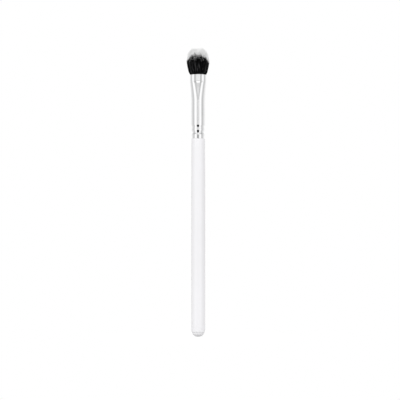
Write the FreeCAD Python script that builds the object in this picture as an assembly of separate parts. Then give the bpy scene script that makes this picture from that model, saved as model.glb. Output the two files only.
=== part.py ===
import FreeCAD, Part
import math
import os

os.makedirs("parts", exist_ok=True)

# The brush stands on its butt. Z runs up its axis from the butt to the tips of
# the hair, X is the width of the flattened mouth and Y its thickness.
# Every length is in millimetres.

# Lengths along the axis, from the butt upwards
dome_height = 3.0
handle_length = 113.7
ferrule_length = 38.05
tuft_length = 15.25

# Handle, one hollow moulding with a neck that goes up into the ferrule
handle_radius = 4.125
taper_length = 32.0
taper_drop = 0.125
shoulder_land = 0.2
shoulder_bevel = 0.3
butt_land = 0.425
butt_bevel = 0.15
neck_wall = 0.62
neck_lead = 0.6
neck_gap = 1.05
core_reach = 9.0

# Plug that closes the handle's core hole
stem_length = 9.0
stem_clearance = 0.03
stem_wall = 0.9
stem_lead = 0.4
stem_floor = 1.0

# Ferrule, a thin tube crimped onto the neck and pressed oval at its mouth
ferrule_wall = 0.3
lip_height = 2.0
lip_bevel = 0.12
crimp_half_width = 1.5
crimp_floor_width = 0.9
crimp_depth = 0.3
crimp_land = 0.3
tube_swell = 0.325
tube_height = 22.6
band_height = 4.45
mouth_half_width = 4.86
mouth_half_thickness = 3.03

# Adhesive between the neck and the ferrule
film = 0.08
film_margin = 0.5
film_end_margin = 0.6

# Roots of the fibres, tied and set in epoxy
root_tail_length = 1.0
root_flare_length = 1.4
tie_width = 1.5
tie_gap = 0.45
thread_thickness = 0.25
epoxy_wall = 0.475
epoxy_cap = 1.2
fibre_gap = 0.075

# Head of hair above the mouth
head_half_width = 6.7
widest_height = 7.25
core_height = 6.4
dark_rise = 2.4
dark_spike = 2.4
pale_spike = 1.2
colour_gap = 0.05

# Shapes that carry no length
end_arc_angle = math.radians(82)
flare_power = 1.6
spread_power = 0.6
dome_power = 3.2
section_power = 1.6
taper_power = 3
dome_steps = 4
flare_steps = 5
core_steps = 3
ring_count = 5
dark_steps = 3
pale_steps = 2
core_sides = 28
crown_share = 0.1
core_gap_share = 0.02
side_ring_share = 0.16
lock_fill_share = 0.92
lock_tip_share = 0.35
golden_share = (math.sqrt(5) - 1) / 2
inner_share = 1 - side_ring_share - core_gap_share

shoulder_radius = handle_radius - taper_drop
lip_radius = shoulder_radius - shoulder_land
tube_radius = lip_radius + tube_swell
bore_radius = tube_radius - ferrule_wall
neck_inset = ferrule_wall + film
core_radius = lip_radius - crimp_depth - neck_inset - neck_wall
dome_radius = handle_radius - butt_land
root_radius = bore_radius - epoxy_wall - thread_thickness

seat_z = dome_height
shoulder_z = seat_z + handle_length
mouth_z = shoulder_z + ferrule_length
flatten_z = shoulder_z + tube_height
band_z = mouth_z - band_height
lower_crimp_z = shoulder_z + lip_height + crimp_half_width
upper_crimp_z = lower_crimp_z + 2 * crimp_half_width + crimp_land
root_flare_z = flatten_z - root_flare_length
tie_z = root_flare_z - tie_gap - tie_width
root_z = tie_z - root_tail_length
neck_z = root_z - epoxy_cap - neck_gap
axis = FreeCAD.Vector(0, 0, 1)
centre = FreeCAD.Vector(0, 0, 0)


def blend(first, last, share):
    return first + (last - first) * share


def point(radius, height):
    return FreeCAD.Vector(radius, 0, height)


def line(start, end):
    return Part.LineSegment(start, end).toShape()


def path(*places):
    return [line(start, end) for start, end in zip(places, places[1:])]


def turned(edges):
    """Solid of revolution of a closed outline about the brush's axis."""
    return Part.Face(Part.Wire(edges)).revolve(centre, axis, 360)


def oval(half_width, half_thickness, height):
    """Closed outline of four arcs that run on into each other, a circle where both halves are equal."""
    cosine = math.cos(end_arc_angle)
    sine = math.sin(end_arc_angle)
    end_radius = half_thickness - half_width * (1 - sine) / cosine
    end_radius /= sine - (1 - sine) * (1 - cosine) / cosine
    joint_x = half_width - end_radius * (1 - cosine)
    joint_y = end_radius * sine
    right = FreeCAD.Vector(half_width, 0, height)
    back = FreeCAD.Vector(0, half_thickness, height)
    back_right = FreeCAD.Vector(joint_x, joint_y, height)
    front_right = FreeCAD.Vector(joint_x, -joint_y, height)
    back_left = FreeCAD.Vector(-joint_x, joint_y, height)
    front_left = FreeCAD.Vector(-joint_x, -joint_y, height)
    left = FreeCAD.Vector(-half_width, 0, height)
    front = FreeCAD.Vector(0, -half_thickness, height)
    arcs = [
        Part.Arc(front_right, right, back_right),
        Part.Arc(back_right, back, back_left),
        Part.Arc(back_left, left, front_left),
        Part.Arc(front_left, front, front_right),
    ]
    return Part.Wire([arc.toShape() for arc in arcs])


def ring(radius, height):
    return oval(radius, radius, height)


def stacked(sections):
    return Part.makeLoft(sections, True, True)


# Outlines that the ferrule shares with what it holds

def crimp_sections(inset):
    """Rings up the two crimps to the full tube, inset from the ferrule's outside."""
    level = lip_radius - inset
    groove = level - crimp_depth
    sections = []
    for crimp_z, upper_radius in ((lower_crimp_z, level), (upper_crimp_z, tube_radius - inset)):
        sections += [
            ring(level, crimp_z - crimp_half_width),
            ring(groove, crimp_z - crimp_floor_width / 2),
            ring(groove, crimp_z + crimp_floor_width / 2),
            ring(upper_radius, crimp_z + crimp_half_width),
        ]
    return sections


def mouth_sections(inset):
    """Outlines from the round tube up to the pressed band and the mouth."""
    sections = []
    for step in range(flare_steps + 1):
        press = step / flare_steps
        half_width = blend(tube_radius, mouth_half_width, press) - inset
        half_thickness = blend(tube_radius, mouth_half_thickness, press) - inset
        height = blend(flatten_z, band_z, press ** (1 / flare_power))
        sections.append(oval(half_width, half_thickness, height))
    return sections + [oval(half_width, half_thickness, mouth_z)]


# Handle

def make_handle_body():
    neck_radius = tube_radius - neck_inset
    grip = stacked([
        ring(handle_radius - butt_bevel, seat_z),
        ring(handle_radius, seat_z + butt_bevel),
        ring(handle_radius, shoulder_z - taper_length),
        ring(shoulder_radius, shoulder_z - shoulder_bevel),
        ring(shoulder_radius - shoulder_bevel, shoulder_z),
    ])
    neck = [ring(lip_radius - neck_inset, shoulder_z)] + crimp_sections(neck_inset)
    neck += [ring(neck_radius, neck_z - neck_lead), ring(neck_radius - neck_lead, neck_z)]
    core = Part.makeCylinder(core_radius, shoulder_z + core_reach - seat_z, point(0, seat_z))
    return grip.fuse(stacked(neck)).cut(core)


def make_end_plug():
    """Dome that seats on the butt face, on a hollow stem that fits the core hole."""
    turns = [math.pi / 2 * blend(crown_share, 1, step / dome_steps) for step in range(dome_steps + 1)]
    dome = [ring(dome_radius * math.sin(turn), dome_height * (1 - math.cos(turn))) for turn in turns]
    dome[0] = ring(dome_radius * math.sin(turns[0]), 0)
    stem_radius = core_radius - stem_clearance
    stem_top = seat_z + stem_length
    stem = turned(path(
        point(0, seat_z),
        point(stem_radius, seat_z),
        point(stem_radius, stem_top - stem_lead),
        point(stem_radius - stem_lead, stem_top),
        point(stem_radius - stem_wall, stem_top),
        point(stem_radius - stem_wall, seat_z + stem_floor),
        point(0, seat_z + stem_floor),
        point(0, seat_z),
    ))
    return stacked(dome).fuse(stem)


# Ferrule and what bonds it

def make_ferrule():
    foot = [ring(lip_radius - lip_bevel, shoulder_z), ring(lip_radius, shoulder_z + lip_bevel)]
    outside = stacked(foot + crimp_sections(0) + mouth_sections(0))
    bore_foot = [ring(lip_radius - ferrule_wall, shoulder_z)]
    inside = stacked(bore_foot + crimp_sections(ferrule_wall) + mouth_sections(ferrule_wall))
    return outside.cut(inside)


def make_neck_adhesive():
    bottom = upper_crimp_z + crimp_half_width + film_margin
    top = neck_z - neck_lead - film_end_margin
    return turned(path(
        point(bore_radius - film, bottom),
        point(bore_radius, bottom),
        point(bore_radius, top),
        point(bore_radius - film, top),
        point(bore_radius - film, bottom),
    ))


def make_root_epoxy():
    """Cup of epoxy that fills the tube under and round the tied roots."""
    tied_radius = root_radius + thread_thickness
    return turned(path(
        point(0, root_z - epoxy_cap),
        point(bore_radius, root_z - epoxy_cap),
        point(bore_radius, root_flare_z),
        point(root_radius, root_flare_z),
        point(root_radius, tie_z + tie_width),
        point(tied_radius, tie_z + tie_width),
        point(tied_radius, tie_z),
        point(root_radius, tie_z),
        point(root_radius, root_z),
        point(0, root_z),
        point(0, root_z - epoxy_cap),
    ))


def make_binding_thread():
    return turned(path(
        point(root_radius, tie_z),
        point(root_radius + thread_thickness, tie_z),
        point(root_radius + thread_thickness, tie_z + tie_width),
        point(root_radius, tie_z + tie_width),
        point(root_radius, tie_z),
    ))


# Hair

def head_halves(height):
    """Half width and half thickness of the head, which keeps the bundle's proportions at the mouth."""
    inset = ferrule_wall + fibre_gap
    spread = min(height / widest_height, 1) ** spread_power
    half_width = blend(mouth_half_width - inset, head_half_width, spread)
    return half_width, half_width * (mouth_half_thickness - inset) / (mouth_half_width - inset)


def tip_height(share, rise):
    """Height of a domed surface at a share of the head's half width."""
    return widest_height + rise * (1 - share ** dome_power) ** (1 / dome_power)


def place(share, angle):
    """Point of the head seen from above, in shares of its half width and half thickness."""
    return FreeCAD.Vector(share * math.cos(angle), share * math.sin(angle), 0)


def cross_section(height, corners, middle, size):
    """Corners at a height, drawn in towards their middle by a share of their size."""
    half_width, half_thickness = head_halves(height)
    section = []
    for corner in corners:
        share = blend(middle, corner, size)
        section.append(FreeCAD.Vector(half_width * share.x, half_thickness * share.y, mouth_z + height))
    return section + section[:1]


def faceted(sections):
    """Solid with flat faces between cross sections that keep one shape."""
    outlines = [sections[0], sections[-1]]
    for lower, upper in zip(sections, sections[1:]):
        for side in range(len(lower) - 1):
            outlines.append([lower[side], lower[side + 1], upper[side + 1], upper[side], lower[side]])
    faces = [Part.Face(Part.makePolygon(outline)) for outline in outlines]
    return Part.makeSolid(Part.makeShell(faces))


def make_fibre_core():
    """Inner bundle: tied roots, the stretch in the ferrule, and the middle of the head."""
    roots = [ring(root_radius, root_z), ring(root_radius, root_flare_z)]
    bundle = stacked(roots + mouth_sections(ferrule_wall + fibre_gap))
    corners = [place(inner_share, 2 * math.pi * side / core_sides) for side in range(core_sides)]
    sections = []
    for step in range(core_steps + 1):
        height = core_height * (step / core_steps) ** section_power
        sections.append(cross_section(height, corners, centre, 1))
    return bundle.fuse(faceted(sections))


def lock_outline(row, angle, half_turn):
    """Corners and middle of one lock's part of its ring, seen from above."""
    ring_share = inner_share / (ring_count - 1)
    inner, outer = row * ring_share, (row + 1) * ring_share
    if row == ring_count - 1:
        inner, outer = 1 - side_ring_share, 1
    corners = [place(outer, angle + turn) for turn in (-half_turn, 0, half_turn)]
    corners.append(place(inner / math.cos(half_turn), angle + half_turn))
    if row > 0:
        corners.append(place(inner / math.cos(half_turn), angle - half_turn))
    return corners, place((inner + outer) / 2, angle)


def make_dark_lock(corners, middle, tip):
    """Straight-ended lock that leaves the mouth and follows the spread of the head."""
    sections = []
    for step in range(dark_steps + 1):
        height = tip * (step / dark_steps) ** section_power
        sections.append(cross_section(height, corners, middle, lock_fill_share))
    return faceted(sections)


def make_pale_lock(corners, middle, base, tip):
    """Lock that narrows more and more towards its tip."""
    sections = []
    for step in range(pale_steps + 1):
        rise = (step / pale_steps) ** (1 / section_power)
        size = lock_fill_share * blend(1, lock_tip_share, rise ** taper_power)
        sections.append(cross_section(blend(base, tip, rise), corners, middle, size))
    return faceted(sections)


def make_locks():
    """Rings of locks, all pale at the tip, with dark roots in the outermost ring."""
    dark = []
    pale = []
    for row in range(ring_count):
        count = int(math.pi * (2 * row + 1))
        half_turn = math.pi / count
        for number in range(count):
            angle = half_turn * (2 * number + row)
            chance = len(pale) * golden_share % 1
            corners, middle = lock_outline(row, angle, half_turn)
            base = core_height + colour_gap
            if row == ring_count - 1:
                dark_tip = tip_height(abs(math.cos(angle)), dark_rise) + dark_spike * (chance - 0.5)
                dark.append(make_dark_lock(corners, middle, dark_tip))
                base = dark_tip + colour_gap
            tip = tip_height(middle.Length, tuft_length - widest_height) - pale_spike * chance
            pale.append(make_pale_lock(corners, middle, base, tip))
    return Part.makeCompound(dark), Part.makeCompound(pale)


black_fibre_locks, white_fibre_locks = make_locks()
pieces = {
    "handle_body": make_handle_body(),
    "end_plug": make_end_plug(),
    "ferrule": make_ferrule(),
    "neck_adhesive": make_neck_adhesive(),
    "root_epoxy": make_root_epoxy(),
    "binding_thread": make_binding_thread(),
    "fibre_core": make_fibre_core(),
    "black_fibre_locks": black_fibre_locks,
    "white_fibre_locks": white_fibre_locks,
}
for name, shape in pieces.items():
    box = shape.BoundBox
    print(name, "solids", len(shape.Solids), "valid", shape.isValid(), "volume", round(shape.Volume, 3),
          "z", round(box.ZMin, 2), round(box.ZMax, 2), "x", round(box.XMax, 2), "y", round(box.YMax, 2))
    shape.exportStep("parts/" + name + ".step")
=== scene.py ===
import math
import random

import bpy
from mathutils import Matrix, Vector


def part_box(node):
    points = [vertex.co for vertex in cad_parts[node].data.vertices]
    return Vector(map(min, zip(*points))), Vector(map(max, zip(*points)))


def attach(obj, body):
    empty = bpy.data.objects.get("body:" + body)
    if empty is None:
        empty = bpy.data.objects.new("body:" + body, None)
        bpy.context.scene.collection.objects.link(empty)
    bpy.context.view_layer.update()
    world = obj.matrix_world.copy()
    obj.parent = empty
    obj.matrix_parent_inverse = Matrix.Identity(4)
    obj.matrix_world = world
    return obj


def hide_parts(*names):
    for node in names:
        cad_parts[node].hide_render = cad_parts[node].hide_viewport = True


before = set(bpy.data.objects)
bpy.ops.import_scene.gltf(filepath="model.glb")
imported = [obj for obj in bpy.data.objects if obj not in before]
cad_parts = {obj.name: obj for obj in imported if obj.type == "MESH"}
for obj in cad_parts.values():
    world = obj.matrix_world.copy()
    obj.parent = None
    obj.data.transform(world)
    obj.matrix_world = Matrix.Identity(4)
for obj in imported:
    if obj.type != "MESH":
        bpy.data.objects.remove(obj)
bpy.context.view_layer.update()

mm = 0.001
handleLow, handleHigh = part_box("handle_body")
plugLow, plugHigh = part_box("end_plug")
ferruleLow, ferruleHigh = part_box("ferrule")
shoulderZ = ferruleLow.z
mouthZ = ferruleHigh.z


# shader tools

class Signal:
    # wraps one output socket, so that shader maths reads as plain sums
    def __init__(self, tree, socket):
        self.tree = tree
        self.socket = socket

    def calc(self, operation, *values):
        node = self.tree.nodes.new("ShaderNodeMath")
        node.operation = operation
        for place, value in enumerate(values):
            if isinstance(value, Signal):
                self.tree.links.new(value.socket, node.inputs[place])
            else:
                node.inputs[place].default_value = value
        return Signal(self.tree, node.outputs[0])

    def __add__(self, other):
        return self.calc("ADD", self, other)

    def __radd__(self, other):
        return self.calc("ADD", other, self)

    def __sub__(self, other):
        return self.calc("SUBTRACT", self, other)

    def __rsub__(self, other):
        return self.calc("SUBTRACT", other, self)

    def __mul__(self, other):
        return self.calc("MULTIPLY", self, other)

    def __rmul__(self, other):
        return self.calc("MULTIPLY", other, self)

    def __truediv__(self, other):
        return self.calc("DIVIDE", self, other)

    def __rtruediv__(self, other):
        return self.calc("DIVIDE", other, self)

    def __neg__(self):
        return self.calc("MULTIPLY", self, -1)

    def __abs__(self):
        return self.calc("ABSOLUTE", self)

    def clamped(self):
        node = self.tree.nodes.new("ShaderNodeClamp")
        self.tree.links.new(self.socket, node.inputs[0])
        return Signal(self.tree, node.outputs[0])


def grey(level):
    return (level, level, level, 1)


class Recipe:
    # the node tree of one material or world
    def __init__(self, owner):
        owner.use_nodes = True
        self.tree = owner.node_tree
        self.tree.nodes.clear()

    def add(self, kind, settings=None, sockets=None, output=0):
        node = self.tree.nodes.new("ShaderNode" + kind)
        for name, value in (settings or {}).items():
            if name == "stops":
                ramp = node.color_ramp
                while len(ramp.elements) < len(value):
                    ramp.elements.new(1)
                for element, (place, level) in zip(ramp.elements, value):
                    element.position = place
                    element.color = grey(level)
            else:
                setattr(node, name, value)
        for name, value in (sockets or {}).items():
            if isinstance(value, Signal):
                self.tree.links.new(value.socket, node.inputs[name])
            else:
                node.inputs[name].default_value = value
        return Signal(self.tree, node.outputs[output]) if node.outputs else None

    def mixColour(self, factor, first, second, blend="MIX"):
        # inputs 6 and 7 and output 2 are the colour sockets of the Mix node
        settings = {"data_type": "RGBA", "blend_type": blend}
        return self.add("Mix", settings, {0: factor, 6: first, 7: second}, 2)

    def coordinates(self, scale=(1, 1, 1)):
        # output 3 is the piece's own coordinates
        place = self.add("TexCoord", output=3)
        return self.add("Mapping", sockets={"Vector": place, "Scale": scale})

    def noise(self, vector, scale, detail=3, roughness=0.5):
        sockets = {"Vector": vector, "Scale": scale, "Detail": detail, "Roughness": roughness}
        return self.add("TexNoise", sockets=sockets)

    def range(self, value, low, high, newLow, newHigh):
        sockets = {"Value": value, "From Min": low, "From Max": high, "To Min": newLow, "To Max": newHigh}
        return self.add("MapRange", sockets=sockets)

    def bump(self, height, strength, distance):
        return self.add("Bump", sockets={"Height": height, "Strength": strength, "Distance": distance})

    def surface(self, shader):
        kind = "OutputWorld" if isinstance(self.tree.id_data, bpy.types.World) else "OutputMaterial"
        self.add(kind, sockets={"Surface": shader})


# finishes

def whiteGlossPlastic(name):
    # ripple and pores are heights in millimetres
    finish = {"colour": (0.888, 0.882, 0.902, 1), "cloudy": (0.87, 0.866, 0.88, 1), "cloudScale": 55,
              "cloudRange": (0.42, 0.68), "roughness": 0.2, "handling": 0.1, "handlingScale": 260,
              "ripple": 0.05, "rippleScale": 420, "pores": 0.004, "poreScale": 5200, "relief": 0.35,
              "coat": 0.25, "coatRoughness": 0.06}
    material = bpy.data.materials.new(name)
    recipe = Recipe(material)
    place = recipe.coordinates()
    clouds = recipe.noise(place, finish["cloudScale"], 4)
    handling = recipe.noise(recipe.coordinates((1, 1, 0.25)), finish["handlingScale"], 5, 0.65)
    clouded = recipe.range(clouds, *finish["cloudRange"], 0, 1)
    colour = recipe.mixColour(clouded, finish["colour"], finish["cloudy"])
    roughness = finish["roughness"] + finish["handling"] * (handling - 0.5)
    ripple = recipe.noise(place, finish["rippleScale"], 2)
    pores = recipe.noise(place, finish["poreScale"], 2)
    relief = ripple * finish["ripple"] + pores * finish["pores"]
    shader = recipe.add("BsdfPrincipled", sockets={
        "Base Color": colour, "Roughness": roughness, "Normal": recipe.bump(relief, finish["relief"], 1 * mm),
        "IOR": 1.5, "Coat Weight": finish["coat"], "Coat Roughness": finish["coatRoughness"]})
    recipe.surface(shader)
    return material


def platedMetal(name):
    finish = {"colour": (0.93, 0.93, 0.935, 1), "shade": (0.86, 0.862, 0.87, 1), "roughness": 0.075,
              "hairlines": 0.05, "hairlineScale": 2600, "smears": 0.05, "smearScale": 190,
              "smearRange": (0.4, 0.75), "smearShade": 0.6, "relief": 0.0016 * mm}
    material = bpy.data.materials.new(name)
    recipe = Recipe(material)
    hairlines = recipe.noise(recipe.coordinates((1, 1, 0.06)), finish["hairlineScale"], 3, 0.6)
    smears = recipe.noise(recipe.coordinates(), finish["smearScale"], 4, 0.55)
    smeared = recipe.range(smears, *finish["smearRange"], 0, finish["smearShade"])
    colour = recipe.mixColour(smeared, finish["colour"], finish["shade"])
    roughness = finish["roughness"] + finish["hairlines"] * (hairlines - 0.5)
    roughness = roughness + finish["smears"] * (smears - 0.5)
    shader = recipe.add("BsdfPrincipled", sockets={
        "Base Color": colour, "Metallic": 1.0, "Roughness": roughness,
        "Normal": recipe.bump(hairlines, 0.5, finish["relief"])})
    recipe.surface(shader)
    return material


# the lighter streaks are painted sheen along the dark fibres, and a random lighter tone on the pale ones
darkFilament = {"plain": (0.0015, 0.0015, 0.0018, 1), "sheenAndToneStreak": (0.05, 0.05, 0.052, 1),
                "sheenAndToneRange": (0.53, 0.64), "roughness": 0.45, "specular": 0.12}
# undyed filament takes next to nothing out of the light, so its colour is near white
paleFilament = {"plain": (0.95, 0.95, 0.948, 1), "sheenAndToneStreak": (0.99, 0.99, 0.988, 1),
                "sheenAndToneRange": (0.32, 0.58), "roughness": 0.5, "specular": 0.5}


def brushFilament(name, finish):
    material = bpy.data.materials.new(name)
    recipe = Recipe(material)
    streaks = recipe.noise(recipe.coordinates((1, 1, 0.08)), 1500, 3, 0.6)
    # lighter streaks: painted sheen on the dark filament, random tone on the pale filament
    sheenAndToneMask = recipe.range(streaks, *finish["sheenAndToneRange"], 0, 1)
    grain = recipe.noise(recipe.coordinates(), 9000, 2)
    shader = recipe.add("BsdfPrincipled", sockets={
        "Base Color": recipe.mixColour(sheenAndToneMask, finish["plain"], finish["sheenAndToneStreak"]),
        "Roughness": finish["roughness"] + 0.2 * (streaks - 0.5), "IOR": 1.45,
        "Normal": recipe.bump(grain, 0.3, 0.01 * mm), "Specular IOR Level": finish["specular"]})
    recipe.surface(shader)
    return material


# adhesive film and root epoxy, both shut inside the ferrule
filmAdhesive = {"clear": (0.72, 0.68, 0.55, 1), "cloudy": (0.84, 0.81, 0.72, 1), "roughness": 0.45}
amberEpoxy = {"clear": (0.5, 0.33, 0.12, 1), "cloudy": (0.66, 0.5, 0.27, 1), "roughness": 0.2}


def curedResin(name, finish):
    material = bpy.data.materials.new(name)
    recipe = Recipe(material)
    place = recipe.coordinates()
    clouds = recipe.noise(place, 320, 4)
    bubbles = recipe.add("TexVoronoi", sockets={"Vector": place, "Scale": 2600})
    clouded = recipe.range(clouds, 0.4, 0.7, 0, 1)
    shader = recipe.add("BsdfPrincipled", sockets={
        "Base Color": recipe.mixColour(clouded, finish["clear"], finish["cloudy"]),
        "Roughness": finish["roughness"] + 0.2 * (clouds - 0.5),
        "Normal": recipe.bump(bubbles, 0.3, 0.02 * mm)})
    recipe.surface(shader)
    return material


def twistedThread(name):
    finish = {"hollow": (0.62, 0.6, 0.55, 1), "crest": (0.86, 0.85, 0.8, 1), "twistScale": 640,
              "roughness": 0.8, "relief": 0.05 * mm}
    material = bpy.data.materials.new(name)
    recipe = Recipe(material)
    # the hollows of the twist get a darker colour than the crests: painted shade in the grooves
    twist = recipe.add("TexWave", {"bands_direction": "Z"}, {
        "Vector": recipe.coordinates(), "Scale": finish["twistScale"], "Distortion": 1.5, "Detail": 2})
    shader = recipe.add("BsdfPrincipled", sockets={
        "Base Color": recipe.mixColour(twist, finish["hollow"], finish["crest"]),
        "Roughness": finish["roughness"] + 0.1 * twist, "Normal": recipe.bump(twist, 0.8, finish["relief"])})
    recipe.surface(shader)
    return material


# mesh tools

def blend(first, last, share):
    return first + (last - first) * share


def makePiece(name, points, faces, material, replaced, smooth=True):
    mesh = bpy.data.meshes.new(name)
    mesh.from_pydata(points, [], faces)
    mesh.update()
    mesh.polygons.foreach_set("use_smooth", [smooth] * len(mesh.polygons))
    piece = bpy.data.objects.new(name, mesh)
    bpy.context.scene.collection.objects.link(piece)
    mesh.materials.append(material)
    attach(piece, "root")
    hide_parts(replaced)
    print("made", name, "with", len(mesh.polygons), "faces")


def stitchedRows(rows, closed=False):
    # quads between rings of points that all have the same count
    count = len(rows[0])
    points = [point for row in rows for point in row]
    faces = []
    for row in range(len(rows) if closed else len(rows) - 1):
        upper = (row + 1) % len(rows)
        for side in range(count):
            following = (side + 1) % count
            faces.append((row * count + side, row * count + following,
                          upper * count + following, upper * count + side))
    return points, faces


def turnedPiece(name, profile, segments, material, replaced):
    # profile runs from the axis at the bottom to the axis at the top
    rows = []
    for radius, height in profile[1:-1]:
        turns = [2 * math.pi * side / segments for side in range(segments)]
        rows.append([(radius * math.cos(turn), radius * math.sin(turn), height) for turn in turns])
    points, faces = stitchedRows(rows)
    # the two ends close on a point at the axis
    for row, height in ((0, profile[0][1]), (len(rows) - 1, profile[-1][1])):
        points.append((0, 0, height))
        hub = len(points) - 1
        for side in range(segments):
            pair = (row * segments + side, row * segments + (side + 1) % segments)
            faces.append((hub, *(pair[::-1] if row == 0 else pair)))
    makePiece(name, points, faces, material, replaced)


def roundedCorner(radius, height, size, startTurn, steps=5):
    # quarter circle of the given size round a centre at radius and height
    corner = []
    for step in range(steps + 1):
        turn = startTurn + math.pi / 2 * step / steps
        corner.append((radius + size * math.cos(turn), height + size * math.sin(turn)))
    return corner


# handle

handleSizes = {"taperStart": 84.7 * mm, "shoulderRadius": 4.0 * mm, "shoulderRound": 0.32 * mm,
               "shoulderSteps": 8, "buttRound": 0.15 * mm, "seatDrop": 0.25 * mm, "neckRadius": 3.4 * mm,
               "segments": 128, "rows": 24}


def makeHandle(material):
    sizes = handleSizes
    radius = handleHigh.x
    seatZ = handleLow.z - sizes["seatDrop"]
    low = roundedCorner(radius - sizes["buttRound"], seatZ + sizes["buttRound"], sizes["buttRound"],
                        -math.pi / 2)
    top = roundedCorner(sizes["shoulderRadius"] - sizes["shoulderRound"], shoulderZ - sizes["shoulderRound"],
                        sizes["shoulderRound"], 0, sizes["shoulderSteps"])
    profile = [(0, seatZ)] + low
    for step in range(1, sizes["rows"]):
        profile.append((radius, blend(low[-1][1], sizes["taperStart"], step / sizes["rows"])))
    for step in range(sizes["rows"]):
        share = step / sizes["rows"]
        profile.append((blend(radius, sizes["shoulderRadius"], share),
                        blend(sizes["taperStart"], top[0][1], share)))
    profile += top
    profile += [(sizes["neckRadius"], shoulderZ), (sizes["neckRadius"], handleHigh.z), (0, handleHigh.z)]
    turnedPiece("glossHandle", profile, sizes["segments"], material, "handle_body")


# butt plug

plugSizes = {"power": 2.15, "steps": 28, "stemRadius": 2.47 * mm, "segments": 128}


def makePlug(material):
    sizes = plugSizes
    radius = plugHigh.x
    seatZ = handleLow.z - handleSizes["seatDrop"]
    height = seatZ - plugLow.z
    profile = [(0, plugLow.z)]
    for step in range(1, sizes["steps"] + 1):
        turn = math.pi / 2 * step / sizes["steps"]
        profile.append((radius * math.sin(turn) ** (2 / sizes["power"]),
                        plugLow.z + height * (1 - math.cos(turn) ** (2 / sizes["power"]))))
    profile += [(sizes["stemRadius"], seatZ), (sizes["stemRadius"], plugHigh.z), (0, plugHigh.z)]
    turnedPiece("domedButt", profile, sizes["segments"], material, "end_plug")


# ferrule

ferruleSizes = {"wall": 0.3 * mm, "tubeHeight": 22.6 * mm, "bandHeight": 4.45 * mm,
                "panelHeight": 4.15 * mm, "pressRound": 0.25 * mm, "pressSteps": 3, "panelStep": 1.0 * mm,
                "panelDepth": 0.12 * mm, "topDrop": 0.2 * mm, "mouthHalfThickness": 3.03 * mm,
                "endArc": math.radians(82), "flarePower": 1.35, "edgeRound": 0.1 * mm, "edgeSteps": 4,
                "endDrop": 0.3 * mm, "lipFoot": 3.7 * mm, "lip": 3.84 * mm, "groove": 3.42 * mm,
                "ridge": 3.91 * mm, "upperGroove": 3.725 * mm, "flankRound": 0.5, "endSamples": 44,
                "faceSamples": 22, "rowStep": 0.14 * mm, "innerSkip": 3}
# height above the shoulder in millimetres, and the radius there
crimpKnots = [(0, "lipFoot"), (2.4, "lip"), (3.45, "groove"), (5.05, "ridge"), (6.76, "upperGroove"),
              (8.08, "tube")]


def tubeRadius(height):
    # radius of the round part, with the lip and the two rolled crimps
    sizes = dict(ferruleSizes, tube=ferruleHigh.y)
    rise = (height - shoulderZ) / mm
    for (low, lowName), (high, highName) in zip(crimpKnots, crimpKnots[1:]):
        if rise <= high:
            share = max(0, (rise - low) / (high - low))
            # the lip rises straight from its foot, and the flanks of the crimps are rounded
            if low > 0:
                share = blend(share, (1 - math.cos(math.pi * share)) / 2, sizes["flankRound"])
            return blend(sizes[lowName], sizes[highName], share)
    return sizes["tube"]


def ferruleHalves(height):
    # half width and half thickness of the outside, evened out over the rounding of the press
    sizes = ferruleSizes
    flattenZ = shoulderZ + sizes["tubeHeight"]
    if height <= flattenZ - sizes["pressRound"]:
        return tubeRadius(height), tubeRadius(height)
    halfWidths, halfThicknesses = [], []
    bandFoot = mouthZ - sizes["bandHeight"] - flattenZ
    panelFoot = mouthZ - sizes["panelHeight"] - flattenZ
    for step in range(-sizes["pressSteps"], sizes["pressSteps"] + 1):
        rise = max(0, height + sizes["pressRound"] * step / sizes["pressSteps"] - flattenZ)
        widthShare = min(1, rise / bandFoot) ** sizes["flarePower"]
        faceShare = min(1, rise / panelFoot) ** sizes["flarePower"]
        pressed = max(0, min(1, (rise - panelFoot) / sizes["panelStep"] + 1))
        halfWidths.append(blend(ferruleHigh.y, ferruleHigh.x, widthShare))
        halfThickness = blend(ferruleHigh.y, sizes["mouthHalfThickness"] + sizes["panelDepth"], faceShare)
        halfThicknesses.append(halfThickness - sizes["panelDepth"] * pressed)
    return sum(halfWidths) / len(halfWidths), sum(halfThicknesses) / len(halfThicknesses)


def ovalRing(halfWidth, halfThickness, height):
    # two end arcs and two face arcs that meet in line, sampled by the way they face
    sizes = ferruleSizes
    endArc, faceArc = sizes["endArc"], math.pi / 2 - sizes["endArc"]
    sine, cosine = math.sin(endArc), math.cos(endArc)
    lean = (1 - sine) / cosine
    endRadius = (halfThickness - halfWidth * lean) / (sine - lean * (1 - cosine))
    endX = halfWidth - endRadius
    faceRadius = endRadius + endX / cosine
    faceY = faceRadius * sine - endRadius * sine
    arcs = [(0, endArc, sizes["endSamples"], endRadius, endX, 0),
            (math.pi / 2, faceArc, sizes["faceSamples"], faceRadius, 0, -faceY),
            (math.pi, endArc, sizes["endSamples"], endRadius, -endX, 0),
            (1.5 * math.pi, faceArc, sizes["faceSamples"], faceRadius, 0, faceY)]
    ring = []
    for middle, spread, count, radius, centreX, centreY in arcs:
        for sample in range(count):
            turn = middle + spread * (2 * sample / count - 1)
            ring.append((centreX + radius * math.cos(turn), centreY + radius * math.sin(turn), height))
    return ring


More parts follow.
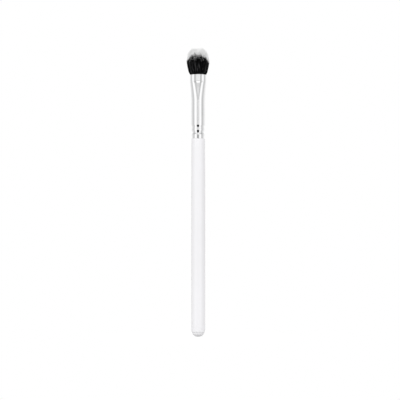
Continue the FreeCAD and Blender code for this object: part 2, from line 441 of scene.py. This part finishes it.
def makeFerrule(material):
    # rows go up the outside, over the rounded rim, down the inside and round the lower edge
    sizes = ferruleSizes
    edge, steps = sizes["edgeRound"], sizes["edgeSteps"]
    topZ = mouthZ - sizes["topDrop"]
    count = round((topZ - shoulderZ - 2 * edge) / sizes["rowStep"])
    heights = [blend(shoulderZ + edge, topZ - edge, step / count) for step in range(count + 1)]
    rows = [(0, height) for height in heights]
    for step in range(1, steps + 1):
        turn = math.pi / 2 * step / steps
        rows.append((edge * (1 - math.cos(turn)), topZ - edge + edge * math.sin(turn)))
    rows.append((sizes["wall"], topZ))
    rows += [(sizes["wall"], height) for height in heights[::-sizes["innerSkip"]]]
    rows.append((sizes["wall"], shoulderZ))
    for step in range(steps, 0, -1):
        turn = math.pi / 2 * step / steps
        rows.append((edge * (1 - math.cos(turn)), shoulderZ + edge - edge * math.sin(turn)))
    rings = []
    for inset, height in rows:
        halfWidth, halfThickness = ferruleHalves(height)
        ring = ovalRing(halfWidth - inset, halfThickness - inset, height)
        # the pressed mouth sits a little lower at its two ends
        drop = sizes["endDrop"] * max(0, 1 - (topZ - height) / sizes["panelHeight"])
        rings.append([(x, y, z - drop * (x / halfWidth) ** 2) for x, y, z in ring])
    points, faces = stitchedRows(rings, True)
    makePiece("platedFerrule", points, faces, material, "ferrule")


# hair

headSizes = {"rootDepth": 2.0 * mm, "halfWidth": 6.65 * mm, "widest": 7.25 * mm, "spreadPower": 0.52,
             "rimDrop": 0.45 * mm, "domePower": 2.8, "tuck": 0.1, "rise": 8.55 * mm, "inset": 0.22 * mm,
             "lean": -0.05 * mm, "leanRise": 1 * mm, "leanGrowth": -0.015}
hair = {"count": 5200, "seed": 27, "reachPower": 0.36, "fray": 0.9 * mm, "wander": 0.13 * mm,
        "radius": 0.05 * mm, "thinnest": 0.8, "thickest": 1.15, "tipRadius": 0.011 * mm, "taperFrom": 0.6,
        "clumps": 240, "clumpPull": 0.65, "leastPull": 0.4, "strayShare": 0.75, "strayPower": 1.3,
        "strayReach": 0.8, "darkSteps": 6, "paleSteps": 4}
# where a fibre turns from dark to pale
colourLine = {"height": 7.0 * mm, "rise": 4.7 * mm, "middle": -0.04, "power": 2.6, "innerDrop": 7 * mm,
              "spike": 4.2 * mm, "spikeSpread": 0.15, "spikeNarrow": 2.2, "spikeFade": 0.7,
              "fray": 0.8 * mm, "leastPale": 0.6 * mm}
# dark strands near the front face that run up into the pale tips, by place across, reach and length
longStrands = [(-0.33, 0.93, 0.9), (-0.33, 0.84, 0.95), (-0.53, 0.93, 0.4), (-0.1, 0.93, 0.4),
               (0.02, 0.93, 0.5), (0.29, 0.93, 0.7), (0.29, 0.85, 0.6), (0.56, 0.93, 0.35)]


def headHalves(height):
    # the head keeps the mouth's proportions as it spreads
    sizes = headSizes
    mouthHalfWidth = ferruleHigh.x - sizes["inset"]
    ratio = (ferruleSizes["mouthHalfThickness"] - sizes["inset"]) / mouthHalfWidth
    share = (height + sizes["rimDrop"]) / (sizes["widest"] + sizes["rimDrop"])
    share = max(0, min(1, share)) ** sizes["spreadPower"]
    halfWidth = blend(mouthHalfWidth, sizes["halfWidth"], share)
    halfWidth *= 1 - sizes["tuck"] * max(0, height - sizes["widest"]) / sizes["rise"]
    return halfWidth, halfWidth * ratio


def dome(reach):
    power = headSizes["domePower"]
    return max(0, 1 - min(1, reach) ** power) ** (1 / power)


class Fibre:
    # one filament, dark from the root up to its turn of colour and pale above it
    def __init__(self, chance, clumps):
        self.turn = chance.uniform(0, 2 * math.pi)
        reach = chance.random() ** hair["reachPower"]
        # u and v place it in the head's oval, whose rim is at 1
        self.u, self.v = reach * math.cos(self.turn), reach * math.sin(self.turn)
        self.clump = min(clumps, key=lambda clump: (clump[0] - self.u) ** 2 + (clump[1] - self.v) ** 2)
        away = math.hypot(self.clump[0] - self.u, self.clump[1] - self.v)
        self.tip = headSizes["widest"] + headSizes["rise"] * dome(reach)
        self.tip -= hair["fray"] * (chance.random() ** 2 + away)
        line = colourLine
        spike = self.clump[2] - line["spikeNarrow"] * away
        spike += chance.uniform(-line["spikeSpread"], line["spikeSpread"])
        self.colourTurn = line["height"] + line["rise"] * (1 - abs(self.u - line["middle"]) ** line["power"])
        self.colourTurn -= line["innerDrop"] * (1 - reach)
        self.colourTurn += line["spike"] * max(0, spike) * (1 - line["spikeFade"] * self.u ** 2)
        self.colourTurn -= line["fray"] * chance.random() ** 2
        self.colourTurn = min(self.colourTurn, self.tip - line["leastPale"])
        self.bend = chance.gauss(0, hair["wander"]), chance.gauss(0, hair["wander"])
        self.pull = hair["clumpPull"] * chance.uniform(hair["leastPull"], 1)
        self.radius = hair["radius"] * chance.uniform(hair["thinnest"], hair["thickest"])

    def ring(self, height):
        halfWidth, halfThickness = headHalves(height)
        growth = max(0, height / self.tip)
        pulled = self.pull * growth ** 3
        x = halfWidth * blend(self.u, self.clump[0], pulled) + self.bend[0] * growth ** 2
        x += headSizes["lean"] * max(0, min(1, height / headSizes["leanRise"]))
        x += headSizes["leanGrowth"] * max(0, height)
        y = halfThickness * blend(self.v, self.clump[1], pulled) + self.bend[1] * growth ** 2
        taper = max(0, (growth - hair["taperFrom"]) / (1 - hair["taperFrom"]))
        radius = blend(self.radius, hair["tipRadius"], taper)
        # one of the three flat sides looks outward
        corners = [self.turn + math.pi / 3 + 2 * math.pi * side / 3 for side in range(3)]
        return [(x + radius * math.cos(corner), y + radius * math.sin(corner), mouthZ + height)
                for corner in corners]


def makeHair(name, strands, material, replaced, smooth):
    points, faces = [], []
    for fibre, low, high, steps in strands:
        first = len(points)
        for step in range(steps + 1):
            points += fibre.ring(blend(low, high, step / steps))
        for step in range(steps):
            base = first + 3 * step
            for side in range(3):
                other = (side + 1) % 3
                faces.append((base + side, base + other, base + 3 + other, base + 3 + side))
        last = len(points) - 3
        faces += [(first + 2, first + 1, first), (last, last + 1, last + 2)]
    makePiece(name, points, faces, material, replaced, smooth)


def growHair(darkMaterial, paleMaterial):
    chance = random.Random(hair["seed"])
    clumps = []
    for number in range(hair["clumps"]):
        turn, reach = chance.uniform(0, 2 * math.pi), chance.random() ** hair["reachPower"]
        stray = 0
        # only clumps near the outside send dark strands up
        if reach > hair["strayReach"]:
            stray = hair["strayShare"] * chance.random() ** hair["strayPower"]
        clumps.append((reach * math.cos(turn), reach * math.sin(turn), stray))
    for place, reach, length in longStrands:
        clumps.append((place, -math.sqrt(reach ** 2 - place ** 2), length))
    fibres = [Fibre(chance, clumps) for number in range(hair["count"])]
    dark = [(fibre, -headSizes["rootDepth"], fibre.colourTurn, hair["darkSteps"]) for fibre in fibres]
    pale = [(fibre, fibre.colourTurn, fibre.tip, hair["paleSteps"]) for fibre in fibres]
    makeHair("darkRoots", dark, darkMaterial, "black_fibre_locks", True)
    # flat shading shows the outward sides of the pale fibres, which keeps them light
    makeHair("paleTips", pale, paleMaterial, "white_fibre_locks", False)


coreSizes = {"share": 0.88, "top": 8.0 * mm, "roundFrom": 0.5, "roundIn": 0.45, "segments": 72, "rows": 12}


def makeCore(material):
    # packed middle of the bundle, which no light gets through
    sizes = coreSizes
    rows = []
    for step in range(sizes["rows"] + 1):
        share = step / sizes["rows"]
        height = blend(-headSizes["rootDepth"], sizes["top"], share)
        halfWidth, halfThickness = headHalves(height)
        rounded = max(0, (share - sizes["roundFrom"]) / (1 - sizes["roundFrom"])) ** 3
        size = sizes["share"] * (1 - sizes["roundIn"] * rounded)
        turns = [2 * math.pi * side / sizes["segments"] for side in range(sizes["segments"])]
        rows.append([(halfWidth * size * math.cos(turn), halfThickness * size * math.sin(turn),
                      mouthZ + height) for turn in turns])
    points, faces = stitchedRows(rows)
    faces.append(tuple(range(sizes["segments"]))[::-1])
    faces.append(tuple(range(len(points) - sizes["segments"], len(points))))
    makePiece("fibreHeart", points, faces, material, "fibre_core")


# make the brush

plastic = whiteGlossPlastic("glossWhitePlastic")
plating = platedMetal("nickelPlate")
darkFibre = brushFilament("darkFilament", darkFilament)
paleFibre = brushFilament("paleFilament", paleFilament)
makeHandle(plastic)
makePlug(plastic)
makeFerrule(plating)
makeCore(darkFibre)
growHair(darkFibre, paleFibre)

insideFinishes = {
    "neck_adhesive": curedResin("filmAdhesive", filmAdhesive),
    "root_epoxy": curedResin("amberEpoxy", amberEpoxy),
    "binding_thread": twistedThread("bindingThread"),
}
for node, material in insideFinishes.items():
    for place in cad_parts[node].material_slots:
        place.material = material
print("finishes set on the pieces inside the ferrule")


# studio

studio = {"below": 0.5, "above": 0.93, "shadeTilt": 25, "mirror": 1.2, "upperDim": 0.78,
          "dimRange": (14, 24), "panelWidth": 8.2, "panelSoft": 0.8}
# a dark blind low in front, which the crimps show as dots; its tilts are in degrees
blind = {"middle": -0.05, "width": 0.285, "soft": 0.08, "level": 0.004, "upperRange": (-1, -5),
         "lowerRange": (-15, -23), "footRange": (-82, -74), "frontRange": (-0.2, -0.1)}
# levels seen in the metal, by degrees to the right of the camera
sweepLevels = [(-180, 0.62), (-168, 0.66), (-163, 0.93), (-152, 1.15), (-142, 0.95), (-125, 0.8),
               (-108, 0.77), (-84, 0.62), (-72, 0.68), (-58, 1.05), (-44, 1.2), (-30, 1.05), (-21.5, 0.86),
               (-17, 0.63), (9, 0.48), (12.5, 0.5), (14.5, 0.93), (22, 1.0), (36, 1.2), (46, 1.0),
               (58, 0.76), (74, 0.54), (96, 0.78), (128, 0.93), (142, 1.05), (152, 1.15), (163, 0.93),
               (168, 0.66), (180, 0.62)]
# levels straight behind the camera, by degrees above it
panelLevels = [(-90, 0.95), (1.2, 0.92), (1.77, 0.92), (2.47, 0.6), (3.18, 1.27), (4, 0.8), (6.8, 0.68),
               (10.2, 0.69), (11.65, 0.74), (12.35, 0.8), (13.06, 0.87), (13.76, 0.78), (14.47, 0.68),
               (15.5, 0.72), (18.5, 0.95), (22, 1.05), (26, 1.15), (60, 1.2), (80, 0.9)]


def makeStudio():
    world = bpy.data.worlds.new("studioRoom")
    bpy.context.scene.world = world
    recipe = Recipe(world)
    way = recipe.add("TexCoord")
    x, y, z = [recipe.add("SeparateXYZ", sockets={0: way}, output=place) for place in range(3)]
    side = x.calc("ARCTAN2", x, -y) * (180 / math.pi)
    tilt = z.calc("ARCSINE", z) * (180 / math.pi)
    # tall soft panels all round, dimmer above
    sweepStops = [(0.5 + angle / 360, level / studio["mirror"]) for angle, level in sweepLevels]
    sweep = recipe.add("ValToRGB", {"stops": sweepStops}, {"Fac": 0.5 + side / 360})
    dimmed = recipe.range(tilt, *studio["dimRange"], 1, studio["upperDim"])
    sweep = recipe.mixColour(1, sweep, dimmed, "MULTIPLY")
    # one narrow panel behind the camera
    panelStops = [(0.5 + angle / 180, level / studio["mirror"]) for angle, level in panelLevels]
    panel = recipe.add("ValToRGB", {"stops": panelStops}, {"Fac": 0.5 + tilt / 180})
    inPanel = recipe.range(abs(side), studio["panelWidth"], studio["panelWidth"] + studio["panelSoft"], 1, 0)
    pattern = recipe.mixColour(inPanel, sweep, panel)
    fromBlind = abs(x - blind["middle"])
    inBlind = recipe.range(fromBlind, blind["width"], blind["width"] + blind["soft"], 1, 0)
    upperHalf = recipe.range(tilt, *blind["upperRange"], 0, 0.5)
    lowerHalf = recipe.range(tilt, *blind["lowerRange"], 0, 0.5)
    inBlind = inBlind * (upperHalf + lowerHalf) * recipe.range(tilt, *blind["footRange"], 0, 1)
    inBlind = inBlind * recipe.range(y, *blind["frontRange"], 1, 0)
    pattern = recipe.mixColour(inBlind, pattern, grey(blind["level"]))
    # everything but a reflection gets even light, a little stronger from above
    shade = recipe.range(tilt, -studio["shadeTilt"], studio["shadeTilt"], studio["below"], studio["above"])
    # outputs 0, 3 and 6 are the camera, glossy and transmission rays
    cameraRay, glossyRay, throughRay = [recipe.add("LightPath", output=place) for place in (0, 3, 6)]
    plain = recipe.add("Background", sockets={"Color": grey(1), "Strength": shade})
    seen = recipe.add("Background", sockets={"Color": pattern, "Strength": studio["mirror"]})
    white = recipe.add("Background", sockets={"Color": grey(1), "Strength": 1.0})
    mirrored = recipe.add("MixShader", sockets={0: glossyRay, 1: plain, 2: seen})
    direct = (cameraRay + throughRay).clamped()
    recipe.surface(recipe.add("MixShader", sockets={0: direct, 1: mirrored, 2: white}))
    print("studio made")


floorSizes = {"radius": 60 * mm, "segments": 96, "colour": (0.32, 0.32, 0.32, 1), "lift": 0.46, "glow": 0.24}


def makeFloor():
    sizes = floorSizes
    points = [(0, 0, 0)]
    for step in range(sizes["segments"]):
        turn = 2 * math.pi * step / sizes["segments"]
        points.append((sizes["radius"] * math.cos(turn), sizes["radius"] * math.sin(turn), 0))
    faces = [(0, 1 + step, 1 + (step + 1) % sizes["segments"]) for step in range(sizes["segments"])]
    mesh = bpy.data.meshes.new("paleFloor")
    mesh.from_pydata(points, [], faces)
    floor = bpy.data.objects.new("paleFloor", mesh)
    bpy.context.scene.collection.objects.link(floor)
    material = bpy.data.materials.new("paleFloor")
    recipe = Recipe(material)
    cameraRay, glossyRay = [recipe.add("LightPath", output=place) for place in (0, 3)]
    matt = recipe.add("BsdfDiffuse", sockets={"Color": sizes["colour"]})
    lift = (cameraRay + glossyRay).clamped() * sizes["lift"] + sizes["glow"]
    glow = recipe.add("Emission", sockets={"Color": grey(1), "Strength": lift})
    recipe.surface(recipe.add("AddShader", sockets={0: matt, 1: glow}))
    mesh.materials.append(material)


lamps = {
    "frontSoftbox": {"place": (-0.1, -0.78, 0.34), "size": 0.45, "power": 2.6},
    "backSoftbox": {"place": (0.1, 0.78, 0.34), "size": 0.45, "power": 2.4},
}
lampAim = (0, 0, 80 * mm)


def makeLamps():
    for name, lamp in lamps.items():
        light = bpy.data.lights.new(name, "AREA")
        light.size = lamp["size"]
        light.energy = lamp["power"]
        holder = bpy.data.objects.new(name, light)
        holder.location = lamp["place"]
        aim = Vector(lampAim) - Vector(lamp["place"])
        holder.rotation_euler = aim.to_track_quat("-Z", "Y").to_euler()
        holder.visible_glossy = False
        bpy.context.scene.collection.objects.link(holder)


# square on to the brush; the sensor is in millimetres, as the camera takes it
view = {"place": (1.06 * mm, -1400 * mm, 80.5 * mm), "frameWidth": 235.7 * mm, "sensor": 36,
        "clipStart": 0.01, "clipEnd": 20}


def makeCamera():
    lens = bpy.data.cameras.new("photoCamera")
    lens.sensor_width = view["sensor"]
    lens.lens = view["sensor"] * -view["place"][1] / view["frameWidth"]
    lens.clip_start = view["clipStart"]
    lens.clip_end = view["clipEnd"]
    camera = bpy.data.objects.new("photoCamera", lens)
    camera.location = view["place"]
    camera.rotation_euler = (math.pi / 2, 0, 0)
    bpy.context.scene.collection.objects.link(camera)
    bpy.context.scene.camera = camera


makeStudio()
makeFloor()
makeLamps()
makeCamera()
print("floor, lamps and camera in place")
bpy.context.scene.view_settings.view_transform = "Standard"
